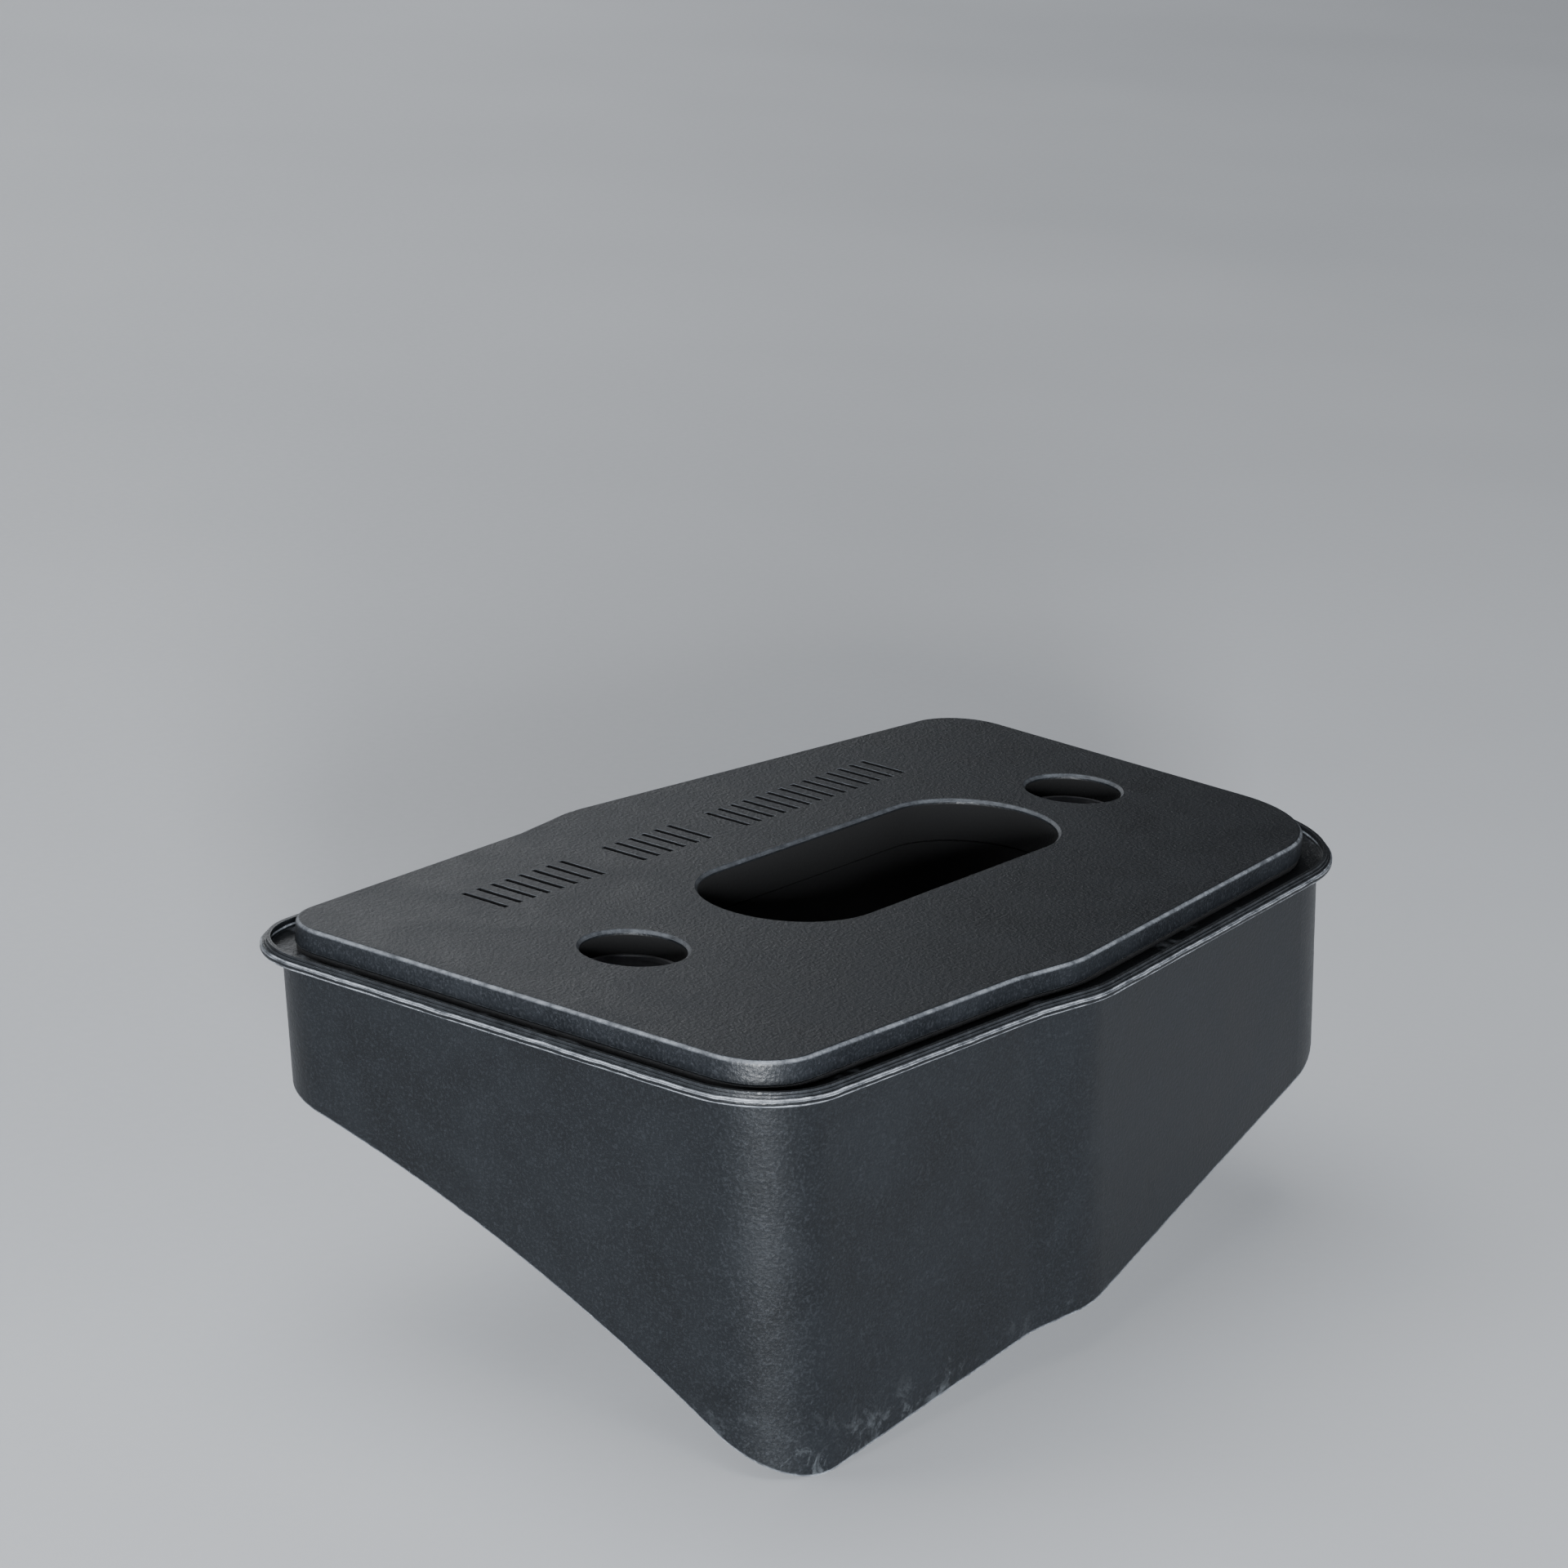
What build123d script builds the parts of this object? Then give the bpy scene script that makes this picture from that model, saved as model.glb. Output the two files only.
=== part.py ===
from build123d import *
import os

# Mounting block, in millimetres. X runs along the block, Y across it and Z up. The origin is on the
# plate's top face, midway between the two bolt holes.

# Plate outline: the X of each end on the centre line, how far X moves per unit of Y there, and the
# half widths at the ends and at both ends of the shoulder where the block steps out.
NEAR_END_X = -29.5
NEAR_END_SKEW = -0.023
NEAR_HALF_W = 15.47
SHOULDER_START_X = -9.48
SHOULDER_START_HALF_W = 16.23
SHOULDER_END_X = -4.88
SHOULDER_END_HALF_W = 16.95
FAR_END_X = 27.1
FAR_END_SKEW = 0.072
FAR_HALF_W = 13.98

# Corner radii of the plate outline.
NEAR_RIGHT_R = 3.5
NEAR_LEFT_R = 2.84
SHOULDER_START_R = 6.1
SHOULDER_END_R = 8.1
FAR_RIGHT_R = 7.68
FAR_LEFT_R = 3.54
MIN_CORNER_R = 0.6

# Top plate, and the spigot under it that centres it in the body.
PLATE_T = 1.3
PLATE_TOP_R = 0.25
PLATE_UNDER_CHAMFER = 0.12
RIM_CHAMFER = 0.15
SPIGOT_INSET = 3.1
SPIGOT_H = 1.1
SPIGOT_CLEAR = 0.1
SPIGOT_FLOOR_GAP = 0.1

# Rows of short engraved ticks along the left side of the plate: first X and count of each row.
TICK_ROWS = ((-19.8, 8), (-8.4, 6), (0.6, 14))
TICK_PITCH = 1.12
TICK_W = 0.4
TICK_LEN = 3.0
TICK_Y = 10.0
TICK_DEPTH = 0.3

# Bolt passages and their sleeves.
BOLT_PITCH = 40.0
BOLT_HOLE_R = 2.75
PASSAGE_R = 2.95
SLEEVE_BORE_R = 2.55
SLEEVE_R = 3.85
SLEEVE_CLEAR = 0.02
SLEEVE_FLOOR = 1.0
SLEEVE_CHAMFER = 0.2

# Long slot.
SLOT_X = 1.4
SLOT_END_R = 4.95
SLOT_HALF_STRAIGHT = 8.2
SLOT_BODY_STEP = 0.05

# Seal between plate and body.
SEAL_T = 0.25
SEAL_EDGE_INSET = 0.1
SEAL_INNER_GAP = 0.15

# Lip around the plate: how far its edges stand outside the plate outline, and their heights. It
# drops straight below its outer edge, then flares in to the wall.
GROOVE_OUT = 1.25
LIP_TOP_OUT = 1.45
LIP_TOP_Z = -1.0
LIP_EDGE_OUT = 1.77
LIP_EDGE_Z = -1.38
LIP_STEPS = 3
LIP_LOW_Z = -1.66
FLARE_Z = -2.02

# Walls lean with the block: sideways travel per unit of depth.
WALL_OUT = 0.82
WALL_LEAN_X = 0.1807
WALL_LEAN_Y = 0.033

# Sole: height at the origin, slope along X and Y, arch across Y and twist between the ends.
SOLE_Z = -10.67
SOLE_SLOPE_X = 0.1408
SOLE_SLOPE_Y = 0.4013
SOLE_ARCH = 0.00863
SOLE_TWIST = 0.00295
SOLE_EDGE_R = 0.22
REACH_X = 9.0
REACH_Y = 4.0
REACH_Z = 3.0


def corner_table():
    """Corners of the plate outline, anticlockwise from above: x, y and corner radius."""
    near, near_skew = NEAR_END_X, NEAR_END_SKEW * NEAR_HALF_W
    far, far_skew = FAR_END_X, FAR_END_SKEW * FAR_HALF_W
    return [
        (near - near_skew, -NEAR_HALF_W, NEAR_RIGHT_R),
        (SHOULDER_START_X, -SHOULDER_START_HALF_W, SHOULDER_START_R),
        (SHOULDER_END_X, -SHOULDER_END_HALF_W, SHOULDER_END_R),
        (far - far_skew, -FAR_HALF_W, FAR_RIGHT_R),
        (far + far_skew, FAR_HALF_W, FAR_LEFT_R),
        (SHOULDER_END_X, SHOULDER_END_HALF_W, SHOULDER_END_R),
        (SHOULDER_START_X, SHOULDER_START_HALF_W, SHOULDER_START_R),
        (near + near_skew, NEAR_HALF_W, NEAR_LEFT_R),
    ]


def outline(grow, z=0.0, lean=False):
    """Face of the plate outline with every side moved out by grow, at height z."""
    table = corner_table()
    points = [Vector(x, y) for x, y, _ in table]
    count = len(points)
    along = [(points[(i + 1) % count] - points[i]).normalized() for i in range(count)]
    moved = [points[i] + Vector(along[i].Y, -along[i].X) * grow for i in range(count)]
    corners = []
    radii = []
    for i in range(count):
        turn = along[i - 1].cross(along[i]).Z
        travel = (moved[i] - moved[i - 1]).cross(along[i]).Z / turn
        corners.append(moved[i - 1] + along[i - 1] * travel)
        radius = table[i][2] + (grow if turn > 0 else -grow)
        radii.append(max(radius, MIN_CORNER_R))
    shift_x = -z * WALL_LEAN_X if lean else 0.0
    shift_y = -z * WALL_LEAN_Y if lean else 0.0
    return Pos(shift_x, shift_y, z) * make_face(FilletPolyline(*corners, radius=radii, close=True))


def slab(grow, low, high):
    """Straight-sided slab of the grown plate outline between two heights."""
    return extrude(outline(grow, low), amount=high - low)


def sole_height(x, y):
    """Height of the sole surface at a point seen from above."""
    return SOLE_Z + SOLE_SLOPE_X * x + SOLE_SLOPE_Y * y - SOLE_ARCH * y * y - SOLE_TWIST * x * y


def half_reach():
    """Half width that clears the widest part of the block."""
    return SHOULDER_END_HALF_W + LIP_EDGE_OUT + REACH_Y


def deepest():
    """Height below the lowest point of the sole."""
    return sole_height(NEAR_END_X - REACH_X, -half_reach()) - REACH_Z


def sole_profile(x):
    """Section below the sole at one X: the arched top edge and a flat bottom."""
    reach = half_reach()
    left = (x, reach, sole_height(x, reach))
    right = (x, -reach, sole_height(x, -reach))
    arch = ThreePointArc(right, (x, 0, sole_height(x, 0)), left)
    floor = deepest() - REACH_Z
    rest = Polyline(left, (x, reach, floor), (x, -reach, floor), right)
    return make_face([arch, rest])


def below_sole():
    """Everything under the arched and twisted sole surface."""
    ends = [sole_profile(NEAR_END_X - REACH_X), sole_profile(FAR_END_X + REACH_X)]
    return loft(ends, ruled=True)


def bolt_x():
    """X of the two bolt passages, near end first."""
    return (-BOLT_PITCH / 2, BOLT_PITCH / 2)


def round_hole(x, radius, low, high):
    """Upright cylinder at one bolt passage."""
    return extrude(Pos(x, 0, low) * Circle(radius), amount=high - low)


def slot_hole(grow, low, high):
    """Upright long hole with round ends."""
    radius = SLOT_END_R + grow
    sketch = SlotCenterToCenter(2 * SLOT_HALF_STRAIGHT, 2 * radius)
    return extrude(Pos(SLOT_X, 0, low) * sketch, amount=high - low)


def seal_low():
    """Height of the deck that the seal lies on."""
    return -PLATE_T - SEAL_T


def sleeve_low(x):
    """Height of the square-cut lower end of the sleeve at x."""
    return sole_height(x, SLEEVE_R) + SLEEVE_FLOOR


def ticks():
    """Engraved strokes in the plate's top face."""
    strokes = []
    for start, count in TICK_ROWS:
        for i in range(count):
            place = Pos(start + i * TICK_PITCH, TICK_Y, -TICK_DEPTH / 2)
            strokes.append(place * Box(TICK_W, TICK_LEN, TICK_DEPTH))
    return strokes


def top_plate():
    """Flat plate with its spigot, bolt holes, slot and engraved ticks."""
    rim = slab(0, -PLATE_T, 0)
    rim = chamfer(rim.edges().group_by(Axis.Z)[0], PLATE_UNDER_CHAMFER)
    plate = rim + slab(-SPIGOT_INSET, -PLATE_T - SPIGOT_H, -PLATE_T)
    plate -= slot_hole(0, -PLATE_T - SPIGOT_H, 0)
    for x in bolt_x():
        plate -= round_hole(x, BOLT_HOLE_R, -PLATE_T, 0)
        plate -= round_hole(x, SLEEVE_R + SPIGOT_CLEAR, -PLATE_T - SPIGOT_H, -PLATE_T)
    face = plate.faces().sort_by(Axis.Z)[-1]
    plate = fillet(face.outer_wire().edges(), PLATE_TOP_R)
    face = plate.faces().sort_by(Axis.Z)[-1]
    plate = chamfer([edge for wire in face.inner_wires() for edge in wire.edges()], RIM_CHAMFER)
    return plate - ticks()


def perimeter_seal():
    """Thin flat ring between the plate's rim and the deck of the body."""
    inner = SPIGOT_INSET - SPIGOT_CLEAR - SEAL_INNER_GAP
    ring = slab(-SEAL_EDGE_INSET, seal_low(), -PLATE_T) - slab(-inner, seal_low(), -PLATE_T)
    for x in bolt_x():
        ring -= round_hole(x, SLEEVE_R + SPIGOT_CLEAR, seal_low(), -PLATE_T)
    return ring


def bolt_sleeve(x):
    """Straight tube from the plate's underside down to its pocket floor."""
    rod = round_hole(x, SLEEVE_R, sleeve_low(x), -PLATE_T)
    rod = chamfer(rod.edges().group_by(Axis.Z)[0], SLEEVE_CHAMFER)
    return rod - round_hole(x, SLEEVE_BORE_R, sleeve_low(x), -PLATE_T)


def lip():
    """Straight outer band of the lip, and fine terraces from it up to the lip's top."""
    rise = (LIP_TOP_Z - LIP_EDGE_Z) / LIP_STEPS
    taper = (LIP_EDGE_OUT - LIP_TOP_OUT) / LIP_STEPS
    steps = slab(LIP_EDGE_OUT, LIP_LOW_Z, LIP_EDGE_Z)
    for i in range(LIP_STEPS):
        low = LIP_EDGE_Z + i * rise
        steps += slab(LIP_EDGE_OUT - (i + 1) * taper, low, low + rise)
    return steps


def wedge_body():
    """Solid block under the plate: leaning walls, flare, lip, groove, passages and arched sole."""
    walls = loft([outline(WALL_OUT, FLARE_Z, True), outline(WALL_OUT, deepest(), True)], ruled=True)
    flare = loft([outline(WALL_OUT, FLARE_Z, True), outline(LIP_EDGE_OUT, LIP_LOW_Z)], ruled=True)
    body = walls + flare + lip() - below_sole()
    sole = body.faces().sort_by(lambda face: face.normal_at().Z)[0]
    body = fillet(sole.edges(), SOLE_EDGE_R)
    deck = seal_low()
    body -= slab(GROOVE_OUT, deck, LIP_TOP_Z)
    recess_floor = -PLATE_T - SPIGOT_H - SPIGOT_FLOOR_GAP
    body -= slab(SPIGOT_CLEAR - SPIGOT_INSET, recess_floor, deck)
    body -= slot_hole(SLOT_BODY_STEP, deepest(), deck)
    for x in bolt_x():
        body -= round_hole(x, PASSAGE_R, deepest(), deck)
        body -= round_hole(x, SLEEVE_R + SLEEVE_CLEAR, sleeve_low(x), deck)
    return body


os.makedirs("parts", exist_ok=True)
near_x, far_x = bolt_x()
export_step(wedge_body(), "parts/wedge_body.step")
export_step(top_plate(), "parts/top_plate.step")
export_step(perimeter_seal(), "parts/perimeter_seal.step")
export_step(bolt_sleeve(near_x), "parts/bolt_sleeve_near.step")
export_step(bolt_sleeve(far_x), "parts/bolt_sleeve_far.step")
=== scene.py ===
import bpy
from math import cos, radians, sin
from mathutils import Matrix, Vector


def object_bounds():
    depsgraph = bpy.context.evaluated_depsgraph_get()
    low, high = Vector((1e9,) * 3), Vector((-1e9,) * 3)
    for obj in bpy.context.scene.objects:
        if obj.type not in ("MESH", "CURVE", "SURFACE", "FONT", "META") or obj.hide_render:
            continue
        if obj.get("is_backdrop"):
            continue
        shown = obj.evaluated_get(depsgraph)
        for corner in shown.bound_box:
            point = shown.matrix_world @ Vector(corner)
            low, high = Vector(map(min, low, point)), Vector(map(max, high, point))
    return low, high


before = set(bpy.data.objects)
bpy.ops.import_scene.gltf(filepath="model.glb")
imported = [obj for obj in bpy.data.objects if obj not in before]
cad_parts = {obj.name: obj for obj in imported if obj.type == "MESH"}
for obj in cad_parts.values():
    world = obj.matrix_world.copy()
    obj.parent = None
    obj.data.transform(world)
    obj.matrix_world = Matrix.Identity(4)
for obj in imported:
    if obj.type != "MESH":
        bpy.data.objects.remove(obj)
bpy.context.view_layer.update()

scene = bpy.context.scene


# ---------------------------------------------------------------- node helpers

class Shader:
    """One procedural material and the few node calls it is built from."""

    def __init__(self, name):
        self.mat = bpy.data.materials.new(name)
        self.mat.use_nodes = True
        self.tree = self.mat.node_tree
        self.bsdf = next(n for n in self.tree.nodes if n.type == "BSDF_PRINCIPLED")
        coord = self.tree.nodes.new("ShaderNodeTexCoord")
        self.object = coord.outputs["Object"]

    def put(self, socket, value):
        if isinstance(value, bpy.types.NodeSocket):
            self.tree.links.new(value, socket)
        else:
            socket.default_value = value

    def stretch(self, scale):
        node = self.tree.nodes.new("ShaderNodeMapping")
        self.put(node.inputs["Vector"], self.object)
        node.inputs["Scale"].default_value = scale
        return node.outputs["Vector"]

    def noise(self, scale, detail=4.0, rough=0.55, distort=0.0, vector=None):
        node = self.tree.nodes.new("ShaderNodeTexNoise")
        self.put(node.inputs["Vector"], vector or self.object)
        node.inputs["Scale"].default_value = scale
        node.inputs["Detail"].default_value = detail
        node.inputs["Roughness"].default_value = rough
        node.inputs["Distortion"].default_value = distort
        return node.outputs["Fac"]

    def cells(self, scale):
        node = self.tree.nodes.new("ShaderNodeTexVoronoi")
        self.put(node.inputs["Vector"], self.object)
        node.inputs["Scale"].default_value = scale
        return node.outputs["Distance"]

    def ramp(self, value, low, high, out_low=0.0, out_high=1.0):
        node = self.tree.nodes.new("ShaderNodeMapRange")
        node.clamp = True
        self.put(node.inputs["Value"], value)
        node.inputs["From Min"].default_value = low
        node.inputs["From Max"].default_value = high
        node.inputs["To Min"].default_value = out_low
        node.inputs["To Max"].default_value = out_high
        return node.outputs["Result"]

    def math(self, operation, a, b=0.0):
        node = self.tree.nodes.new("ShaderNodeMath")
        node.operation = operation
        self.put(node.inputs[0], a)
        self.put(node.inputs[1], b)
        return node.outputs["Value"]

    def times(self, a, b):
        return self.math("MULTIPLY", a, b)

    def distance(self, value, centre=0.0):
        return self.math("ABSOLUTE", self.math("SUBTRACT", value, centre))

    def mix(self, factor, a, b):
        node = self.tree.nodes.new("ShaderNodeMix")
        node.data_type = "RGBA"
        self.put(node.inputs["Factor"], factor)
        self.put(node.inputs[6], a)
        self.put(node.inputs[7], b)
        return node.outputs[2]

    def xyz(self):
        node = self.tree.nodes.new("ShaderNodeSeparateXYZ")
        self.put(node.inputs["Vector"], self.object)
        return node.outputs

    def edge_wear_and_highlight(self, radius, low, high):
        """1 on convex edges: where a rounded normal leaves the true one; carries edge wear and a
        painted highlight.
        """
        bevel = self.tree.nodes.new("ShaderNodeBevel")
        bevel.samples = 8
        bevel.inputs["Radius"].default_value = radius
        geometry = self.tree.nodes.new("ShaderNodeNewGeometry")
        dot = self.tree.nodes.new("ShaderNodeVectorMath")
        dot.operation = "DOT_PRODUCT"
        self.put(dot.inputs[0], bevel.outputs["Normal"])
        self.put(dot.inputs[1], geometry.outputs["Normal"])
        return self.ramp(dot.outputs["Value"], high, low)

    def bump(self, height, strength, distance, normal=None):
        node = self.tree.nodes.new("ShaderNodeBump")
        node.inputs["Strength"].default_value = strength
        node.inputs["Distance"].default_value = distance
        self.put(node.inputs["Height"], height)
        if normal is not None:
            self.put(node.inputs["Normal"], normal)
        return node.outputs["Normal"]


MM = 0.001

# Tones of the black nylon, from the painted shade of the deepest recess to the palest edge line.
# Painted shade: near-black laid into the holes, the slot and the engraved ticks.
RECESS_SHADE = (0.0008, 0.0008, 0.0010, 1)
BODY_DARK = (0.0022, 0.0027, 0.0034, 1)
PLATE_DARK = (0.0040, 0.0047, 0.0058, 1)
BODY_PALE = (0.013, 0.015, 0.018, 1)
PLATE_PALE = (0.020, 0.022, 0.026, 1)
SCUFFED = (0.10, 0.11, 0.12, 1)
# Pale convex edges: partly edge wear, partly a painted highlight along the edges.
WORN_EDGE_AND_HIGHLIGHT = (0.13, 0.14, 0.155, 1)
# Pale tone of the painted highlight on the plate's top rim, also used for the pale lines at the lip's
# edges.
RIM_HIGHLIGHT_AND_LIP_LINE = (0.22, 0.235, 0.26, 1)
BLOTCH_GAIN = 1.8

# Openings, in the part's own frame.
BOLT_HALF_PITCH = 20.0 * MM
BOLT_RIM_R = 3.05 * MM
SLOT_X = 1.4 * MM
SLOT_HALF_STRAIGHT = 8.2 * MM
SLOT_RIM_R = 5.15 * MM
RIM_FADE = 0.05 * MM

# Rows of engraved ticks on the plate.
TICKS_Y = 10.0 * MM
TICKS_HALF_WIDTH = 1.8 * MM
TICKS_HALF_LENGTH = 22.0 * MM

# Heights of the thin pale lines round the lip.
LIP_EDGE_Z = -1.36 * MM
LIP_LOW_Z = -1.64 * MM
LINE_HALF = 0.035 * MM
LINE_FADE = 0.04 * MM


def nylon(name, dark, pale, grain_depth, edge_radius, rough_low, rough_high):
    """Black moulded nylon: fine grain, soft blotches, pale convex edges that are partly edge wear and
    partly a painted highlight.
    """
    s = Shader(name)
    grain = s.noise(1 / (0.15 * MM), 2.0, 0.6)
    pores = s.cells(1 / (0.255 * MM))
    blotch = s.noise(1 / (5.0 * MM), 6.0, 0.62, 0.4)
    wide = s.noise(1 / (24.0 * MM), 3.0, 0.5)

    broken = s.ramp(s.noise(1 / (0.9 * MM), 5.0, 0.65), 0.35, 0.70, 0.25, 1.0)
    edge = s.times(s.edge_wear_and_highlight(edge_radius, 0.88, 0.99), broken)
    dust = s.ramp(s.cells(1 / (1.1 * MM)), 0.10, 0.03)
    dust = s.times(dust, s.ramp(wide, 0.50, 0.64))

    lifted = tuple(c * BLOTCH_GAIN for c in dark[:3]) + (1.0,)
    tone = s.mix(s.ramp(blotch, 0.34, 0.68), dark, lifted)
    tone = s.mix(s.ramp(grain, 0.50, 0.72, 0.0, 0.50), tone, pale)
    tone = s.mix(s.times(dust, 0.7), tone, pale)
    # Pale convex edges: partly edge wear, partly a painted highlight along the edges.
    s.tone = s.mix(edge, tone, WORN_EDGE_AND_HIGHLIGHT)

    rough = s.ramp(blotch, 0.3, 0.7, rough_low, rough_high)
    rough = s.math("ADD", rough, s.ramp(grain, 0.3, 0.7, -0.05, 0.05))
    s.rough = s.math("SUBTRACT", rough, s.times(edge, 0.10))
    s.bsdf.inputs["Specular IOR Level"].default_value = 0.26
    s.normal = s.bump(s.math("ADD", grain, s.times(pores, 0.5)), 0.8, grain_depth)
    return s


def finish_nylon(s):
    s.put(s.bsdf.inputs["Base Color"], s.tone)
    s.put(s.bsdf.inputs["Roughness"], s.rough)
    s.put(s.bsdf.inputs["Normal"], s.normal)
    return s.mat


def opening_zone(s, place):
    """1 inside the two bolt holes and the slot, and just past their rims."""
    across = s.math("POWER", place["Y"], 2.0)
    from_bolt = s.math("SUBTRACT", s.distance(place["X"]), BOLT_HALF_PITCH)
    from_slot = s.distance(place["X"], SLOT_X)
    past_straight = s.math("MAXIMUM", s.math("SUBTRACT", from_slot, SLOT_HALF_STRAIGHT), 0.0)
    inside = []
    for along, rim in ((from_bolt, BOLT_RIM_R), (past_straight, SLOT_RIM_R)):
        reach = s.math("SQRT", s.math("ADD", s.math("POWER", along, 2.0), across))
        inside.append(s.ramp(reach, rim + RIM_FADE, rim))
    return s.math("MAXIMUM", inside[0], inside[1])


def tick_zone(s, place):
    """1 over the rows of engraved ticks."""
    across = s.ramp(s.distance(place["Y"], TICKS_Y), TICKS_HALF_WIDTH + 0.4 * MM, TICKS_HALF_WIDTH)
    along = s.ramp(s.distance(place["X"]), TICKS_HALF_LENGTH + 2.0 * MM, TICKS_HALF_LENGTH)
    return s.times(across, along)


def paint_shade(s, mask):
    """Painted shade: deep matt black laid into recesses where light hardly reaches."""
    s.tone = s.mix(mask, s.tone, RECESS_SHADE)
    s.rough = s.math("MAXIMUM", s.rough, s.times(mask, 0.95))


def plate_look():
    """The plate's nylon: a painted highlight on its rounded top rim and hole edges but not its ticks,
    and painted shade inside the holes, slot and ticks.
    """
    s = nylon("plate_nylon_look", PLATE_DARK, PLATE_PALE, 0.034 * MM, 0.05 * MM, 0.42, 0.52)
    place = s.xyz()
    z = place["Z"]
    inner = opening_zone(s, place)
    ticks = tick_zone(s, place)
    line_breakup = s.ramp(s.noise(1 / (0.7 * MM), 5.0, 0.66), 0.34, 0.62, 0.12, 0.45)
    # Painted highlight: a thin pale band just below the top face, on the rounded rim and the hole and
    # slot edges, broken by noise.
    rim = s.times(s.ramp(z, -0.20 * MM, -0.10 * MM), s.ramp(z, -0.01 * MM, -0.03 * MM))
    rim = s.times(rim, s.math("SUBTRACT", 1.0, ticks))
    rim = s.times(rim, s.math("SUBTRACT", 1.0, s.times(inner, 0.6)))
    s.tone = s.mix(s.times(rim, line_breakup), s.tone, RIM_HIGHLIGHT_AND_LIP_LINE)
    # Painted shade inside the holes and slot below their rims, and in the engraved ticks.
    paint_shade(s, s.times(inner, s.ramp(z, -0.20 * MM, -0.30 * MM)))
    paint_shade(s, s.times(ticks, s.ramp(z, -0.01 * MM, -0.05 * MM)))
    return finish_nylon(s)


def pale_line(s, height, level):
    """A thin pale line round the part at one height."""
    return s.ramp(s.distance(height, level), LINE_HALF + LINE_FADE, LINE_HALF)


def body_look():
    """The body's nylon, with a darker lip band crossed by thin pale lines, and a scuffed low corner."""
    s = nylon("body_nylon_look", BODY_DARK, BODY_PALE, 0.022 * MM, 0.20 * MM, 0.36, 0.44)
    place = s.xyz()
    z = place["Z"]

    # The lip band is made darker, then thin pale lines are laid at its outer edge and its lower edge.
    lip = s.times(s.ramp(z, -1.72 * MM, -1.62 * MM), s.ramp(z, -0.92 * MM, -0.98 * MM))
    line_breakup = s.ramp(s.noise(1 / (0.8 * MM), 5.0, 0.68), 0.36, 0.60, 0.18, 0.75)
    drift = s.ramp(s.noise(1 / (2.5 * MM), 4.0), 0.3, 0.7, -0.05 * MM, 0.05 * MM)
    height = s.math("ADD", z, drift)
    lines = s.math("MAXIMUM", pale_line(s, height, LIP_EDGE_Z), pale_line(s, height, LIP_LOW_Z))
    s.tone = s.mix(s.times(lip, 0.85), s.tone, BODY_DARK)
    s.tone = s.mix(s.times(lines, line_breakup), s.tone, RIM_HIGHLIGHT_AND_LIP_LINE)
    nicks = s.noise(1 / (0.30 * MM), 3.0, 0.6)
    s.normal = s.bump(s.times(nicks, lip), 0.5, 0.05 * MM, s.normal)

    scuff = s.ramp(s.noise(1 / (1.6 * MM), 6.0, 0.7, 0.6), 0.52, 0.68)
    scuff = s.times(scuff, s.ramp(z, -19.0 * MM, -22.5 * MM))
    s.tone = s.mix(s.times(scuff, 0.4), s.tone, SCUFFED)
    # Painted shade inside the bolt holes and the slot.
    paint_shade(s, opening_zone(s, place))
    return finish_nylon(s)


def rubber():
    """Matt black rubber with a fine grain."""
    s = Shader("seal_rubber_look")
    grain = s.noise(1 / (0.2 * MM), 4.0)
    s.put(s.bsdf.inputs["Base Color"], s.mix(grain, (0.006, 0.006, 0.007, 1), (0.014, 0.014, 0.015, 1)))
    s.put(s.bsdf.inputs["Roughness"], s.ramp(grain, 0.3, 0.7, 0.62, 0.80))
    s.put(s.bsdf.inputs["Normal"], s.bump(grain, 0.4, 0.02 * MM))
    return s.mat


def turned_steel():
    """Dull turned sleeve: rings round the bore axis and a few stains."""
    s = Shader("sleeve_steel_look")
    rings = s.noise(1 / (0.5 * MM), 3.0, 0.6, vector=s.stretch((0.04, 0.04, 4.0)))
    stain = s.noise(1 / (2.2 * MM), 4.0)
    tone = s.mix(s.ramp(stain, 0.35, 0.7), (0.34, 0.34, 0.36, 1), (0.20, 0.20, 0.21, 1))
    s.put(s.bsdf.inputs["Base Color"], tone)
    s.bsdf.inputs["Metallic"].default_value = 1.0
    s.put(s.bsdf.inputs["Roughness"], s.ramp(rings, 0.3, 0.7, 0.32, 0.52))
    s.put(s.bsdf.inputs["Normal"], s.bump(rings, 0.35, 0.02 * MM))
    return s.mat


def floor_look():
    """Pale matt studio floor with a faint slow change of tone."""
    s = Shader("floor_look")
    sweep = s.noise(1 / 0.11, 3.0)
    fleck = s.noise(1 / (0.7 * MM), 2.0)
    tone = s.mix(s.ramp(sweep, 0.3, 0.7), (0.40, 0.41, 0.43, 1), (0.44, 0.45, 0.47, 1))
    s.put(s.bsdf.inputs["Base Color"], tone)
    s.put(s.bsdf.inputs["Roughness"], s.ramp(fleck, 0.3, 0.7, 0.55, 0.65))
    return s.mat


def paint(node, mat):
    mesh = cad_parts[node].data
    mesh.materials.clear()
    mesh.materials.append(mat)


paint("wedge_body", body_look())
paint("top_plate", plate_look())
paint("perimeter_seal", rubber())
steel = turned_steel()
paint("bolt_sleeve_near", steel)
paint("bolt_sleeve_far", steel)


# ---------------------------------------------------------------- floor and light

low, high = (Vector(corner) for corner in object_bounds())
centre = (low + high) / 2

floor_mesh = bpy.data.meshes.new("floor")
half = 1.6
corners = [(-half, -half, 0), (half, -half, 0), (half, half, 0), (-half, half, 0)]
floor_mesh.from_pydata(corners, [], [(0, 1, 2, 3)])
floor = bpy.data.objects.new("floor", floor_mesh)
floor.location = (centre.x, centre.y, low.z)
scene.collection.objects.link(floor)
floor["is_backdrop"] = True

floor_mesh.materials.append(floor_look())


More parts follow.
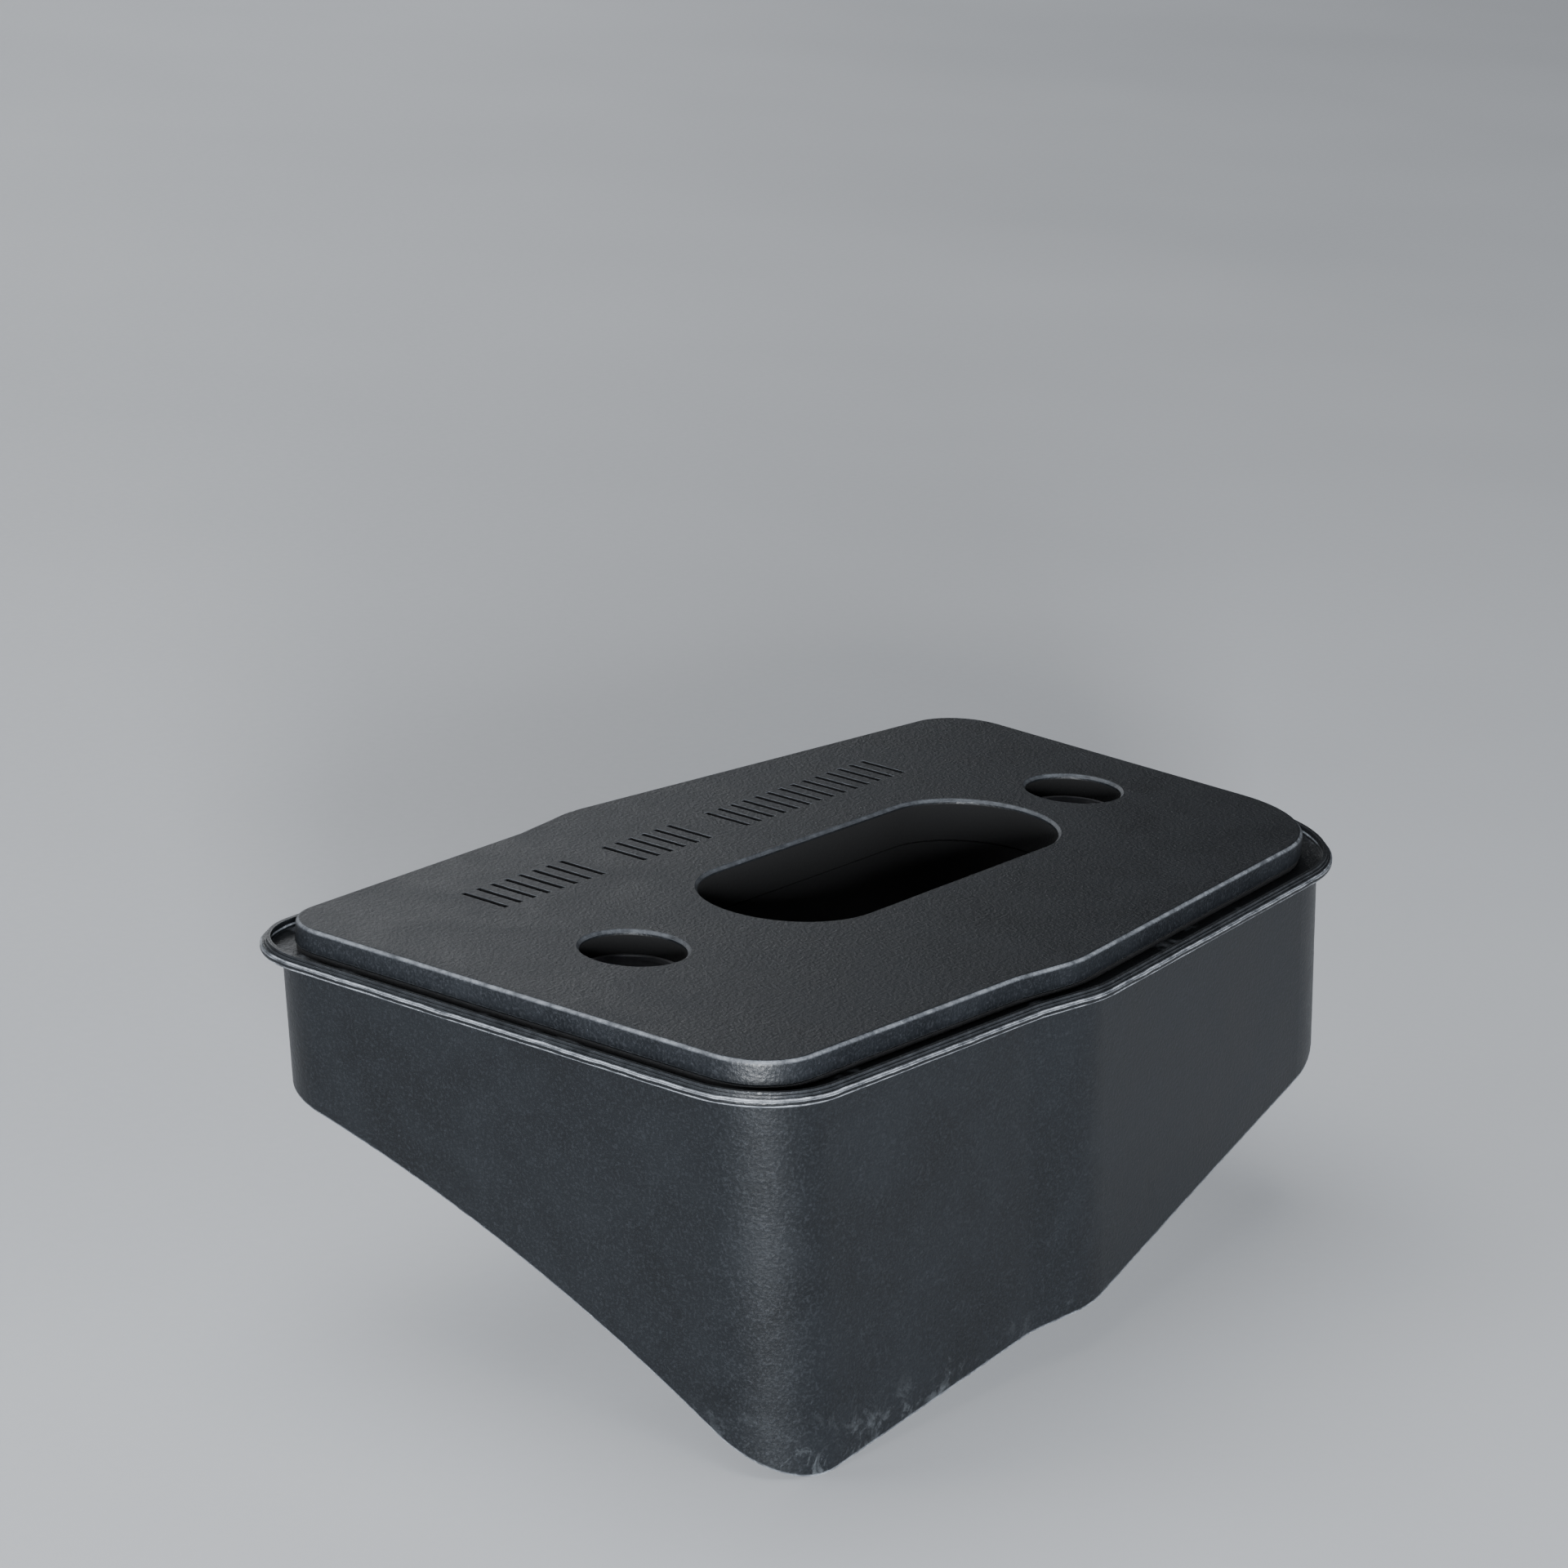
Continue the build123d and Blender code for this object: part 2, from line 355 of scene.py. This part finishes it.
def area_light(name, place, size, power, colour):
    """A soft rectangular light aimed at the middle of the object."""
    data = bpy.data.lights.new(name, "AREA")
    data.shape = "RECTANGLE"
    data.size, data.size_y = size
    data.energy = power
    data.color = colour
    lamp = bpy.data.objects.new(name, data)
    lamp.location = place
    lamp.rotation_euler = (centre - place).to_track_quat("-Z", "Y").to_euler()
    scene.collection.objects.link(lamp)


def around(azimuth, elevation, distance):
    """A point round the object: azimuth 0 is on the -Y side, 90 on the +X side."""
    a, e = radians(azimuth), radians(elevation)
    return centre + Vector((sin(a) * cos(e), -cos(a) * cos(e), sin(e))) * distance


area_light("top_soft", around(-150, 72, 1.30), (1.3, 1.3), 15.0, (0.96, 0.98, 1.0))
area_light("front_low", around(-50, 6, 0.42), (0.06, 0.14), 10.0, (0.94, 0.97, 1.0))
area_light("left", around(-125, 28, 0.60), (0.30, 0.25), 0.7, (0.94, 0.97, 1.0))
area_light("back_left", around(152, 20, 0.85), (0.70, 0.30), 1.7, (0.93, 0.96, 1.0))

world = bpy.data.worlds.new("studio")
world.use_nodes = True
background = next(n for n in world.node_tree.nodes if n.type == "BACKGROUND")
background.inputs["Color"].default_value = (0.80, 0.85, 0.92, 1)
background.inputs["Strength"].default_value = 0.07
scene.world = world


# ---------------------------------------------------------------- camera

LENS_PX, FRAME_PX, SENSOR_MM = 5500.0, 1920.0, 36.0
yaw, pitch, roll = radians(36.06), radians(16.91), radians(3.47)
offset = Vector((4.485, 4.230, 241.09)) * MM

forward = Vector((cos(yaw) * cos(pitch), sin(yaw) * cos(pitch), -sin(pitch)))
right = Vector((sin(yaw), -cos(yaw), 0.0))
up = right.cross(forward)
right_r = right * cos(roll) + up * sin(roll)
up_r = up * cos(roll) - right * sin(roll)
eye = -right_r * offset.x + up_r * offset.y - forward * offset.z

cam_data = bpy.data.cameras.new("photo_camera")
cam_data.sensor_width = SENSOR_MM
cam_data.lens = LENS_PX / FRAME_PX * SENSOR_MM
cam_data.clip_start = 0.01
cam_data.clip_end = 20.0
camera = bpy.data.objects.new("photo_camera", cam_data)
camera.matrix_world = Matrix((
    (right_r.x, up_r.x, -forward.x, eye.x),
    (right_r.y, up_r.y, -forward.y, eye.y),
    (right_r.z, up_r.z, -forward.z, eye.z),
    (0.0, 0.0, 0.0, 1.0),
))
scene.collection.objects.link(camera)
scene.camera = camera
